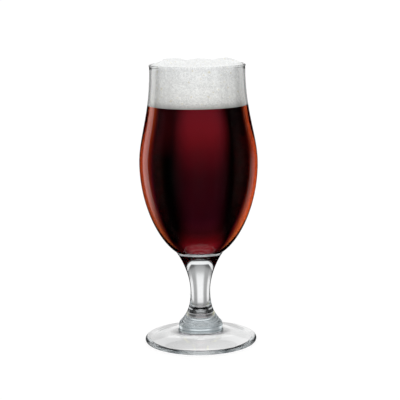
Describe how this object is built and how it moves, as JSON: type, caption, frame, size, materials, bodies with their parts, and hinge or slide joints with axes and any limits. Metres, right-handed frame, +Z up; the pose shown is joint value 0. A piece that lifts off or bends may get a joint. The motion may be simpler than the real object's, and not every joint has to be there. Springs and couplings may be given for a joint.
{
  "type": "stemmed beer glass",
  "caption": "Tulip-shaped stemmed glass on a round foot, filled with dark ale under a thick head of foam.",
  "frame": {"origin": "centre of the flat ring under the foot that the glass rests on", "axes": "+Z up along the axis that every piece is turned about; +X and +Y level"},
  "size_m": [0.0842, 0.0842, 0.205],
  "materials": {
    "clear_glass": "clear, fire-polished soda-lime glass",
    "dark_ale": "clear dark red-brown liquid",
    "ale_foam": "soft matt off-white foam of fine bubbles"
  },
  "bodies": {
    "root": {"bowl": "clear_glass", "stem": "clear_glass", "foot": "clear_glass", "beer": "dark_ale", "foam_head": "ale_foam"}
  },
  "joints": []
}
